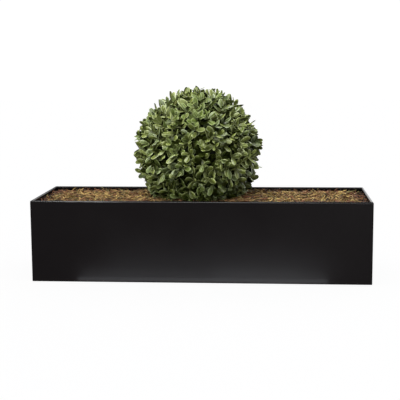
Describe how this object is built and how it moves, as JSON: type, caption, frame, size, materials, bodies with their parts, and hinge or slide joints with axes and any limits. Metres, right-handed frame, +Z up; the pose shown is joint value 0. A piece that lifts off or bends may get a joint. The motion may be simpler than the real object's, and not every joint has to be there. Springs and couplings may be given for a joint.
{
  "type": "artificial box topiary ball in a planter trough",
  "caption": "Clipped ball of artificial box leaves on a short stem, in a long rectangular sheet-metal trough filled with dry moss.",
  "frame": {"origin": "middle of the trough's flat underside, on the surface it stands on", "axes": "+X along the trough, to the right seen from the front; -Y is the front; +Z up"},
  "size_m": [0.9, 0.3523, 0.5106],
  "materials": {
    "trough": "satin black powder coat on sheet steel",
    "moss": "dry curled moss fibre, tan to brown",
    "stem": "rough brown bark",
    "leaves": "satin moulded plastic leaves, mid green with paler edges"
  },
  "bodies": {
    "root": {"trough": "trough", "moss_bed": "moss", "trunk": "stem", "foliage_ball": "leaves"}
  },
  "joints": []
}
